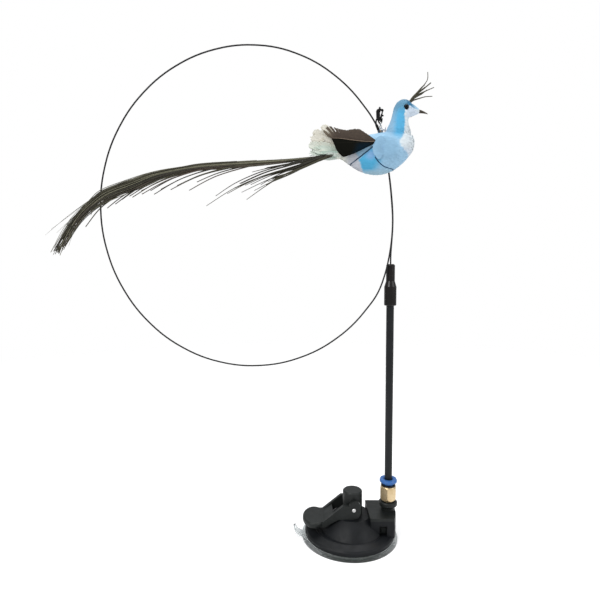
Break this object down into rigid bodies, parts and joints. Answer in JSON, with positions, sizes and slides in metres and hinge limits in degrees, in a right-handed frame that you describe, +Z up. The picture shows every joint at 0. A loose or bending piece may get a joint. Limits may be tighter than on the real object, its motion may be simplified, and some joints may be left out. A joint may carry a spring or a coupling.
{
  "type": "cat feather toy on suction base",
  "caption": "Lever suction base with a push-in tube fitting, a stiff tube, a large spring wire loop, and a stuffed bird with a long feather tail hanging from a claw clasp.",
  "frame": {"origin": "middle of the suction pad, at the level of its sealing face", "axes": "+Z up, away from the surface that the pad sticks to; +X from the pad to the tube; +Y away from the bird, which hangs in front of the wires"},
  "size_m": [0.2831, 0.077, 0.3889],
  "materials": {
    "clear_pad": "gloss",
    "black_moulding": "satin",
    "bright_steel": "satin",
    "fitting_brass": "gloss",
    "seal_rubber": "matte",
    "black_gloss": "gloss",
    "collar_blue": "gloss",
    "tube_black": "satin",
    "coated_wire": "satin",
    "clasp_black": "gloss",
    "binding_tan": "matte",
    "plumage_blue": "matte",
    "thread_dark": "matte",
    "bead_black": "gloss",
    "head_blue": "matte",
    "beak_grey": "satin",
    "crest_olive": "matte",
    "feather_brown": "matte",
    "feather_black": "satin",
    "rump_cream": "matte",
    "tail_olive": "satin"
  },
  "bodies": {
    "base": {"suction_pad": "clear_pad", "housing": "black_moulding", "adapter": "black_moulding", "fitting_body": "fitting_brass", "o_ring": "seal_rubber", "grab_ring": "bright_steel", "retainer_ring": "black_gloss"},
    "plunger": {"plunger_post": "black_moulding", "pad_stud": "black_moulding", "lever_pin": "bright_steel"},
    "lever": {"lever": "black_moulding"},
    "release": {"release_collar": "collar_blue"},
    "wand": {"wand_tube": "tube_black", "wand_sleeve": "black_moulding", "wire_plug": "black_moulding", "spring_wire": "coated_wire", "end_wire": "coated_wire", "wire_ferrule": "clasp_black"},
    "clasp": {"clasp_body": "clasp_black", "trigger_pin": "clasp_black"},
    "trigger": {"clasp_trigger": "clasp_black"},
    "bird": {"bird_hanger_ring": "bright_steel", "bird_hanger": "bright_steel", "neck_wire": "bright_steel", "hanger_binding": "binding_tan", "bird_body": "plumage_blue", "thread_rear": "thread_dark", "thread_front": "thread_dark", "eye_right": "bead_black", "eye_left": "bead_black", "bird_head": "head_blue", "beak": "beak_grey", "crest": "crest_olive", "wing_brown_right": "feather_brown", "wing_brown_left": "feather_brown", "wing_black_right": "feather_black", "wing_black_left": "feather_black", "rump_feathers": "rump_cream", "tail_main": "tail_olive", "tail_side": "tail_olive"}
  },
  "joints": [
    {"name": "lever_pivot", "type": "hinge", "parent": "plunger", "child": "lever", "pos_m": [0.0024, 0, 0.0255], "axis": [0, 1, 0], "range_deg": [0, 90]},
    {"name": "plunger_slide", "type": "slide", "parent": "base", "child": "plunger", "axis": [0, 0, 1], "range_m": [-0.002, 0], "deforming": ["suction_pad"]},
    {"name": "release_slide", "type": "slide", "parent": "base", "child": "release", "axis": [0, 0, 1], "range_m": [-0.0009, 0], "stiffness_N_per_m": 500},
    {"name": "wand_swivel", "type": "hinge", "parent": "base", "child": "wand", "pos_m": [0.0314, 0, 0], "axis": [0, 0, 1], "continuous": true},
    {"name": "clasp_swing", "type": "hinge", "parent": "wand", "child": "clasp", "pos_m": [0.021, -0.00345, 0.3384], "axis": [-1, 0, 0], "range_deg": [0, 70]},
    {"name": "trigger_pivot", "type": "hinge", "parent": "clasp", "child": "trigger", "pos_m": [0.022, -0.00345, 0.3324], "axis": [0, -1, 0], "range_deg": [0, 12], "stiffness_Nm_per_rad": 0.002},
    {"name": "bird_swing", "type": "hinge", "parent": "clasp", "child": "bird", "pos_m": [0.0216, -0.00345, 0.3294], "axis": [0, 1, 0], "range_deg": [-15, 8]}
  ],
  "couplings": [
    {"joint": "lever_pivot", "follows": "plunger_slide", "rad_per_m": -785.4}
  ]
}
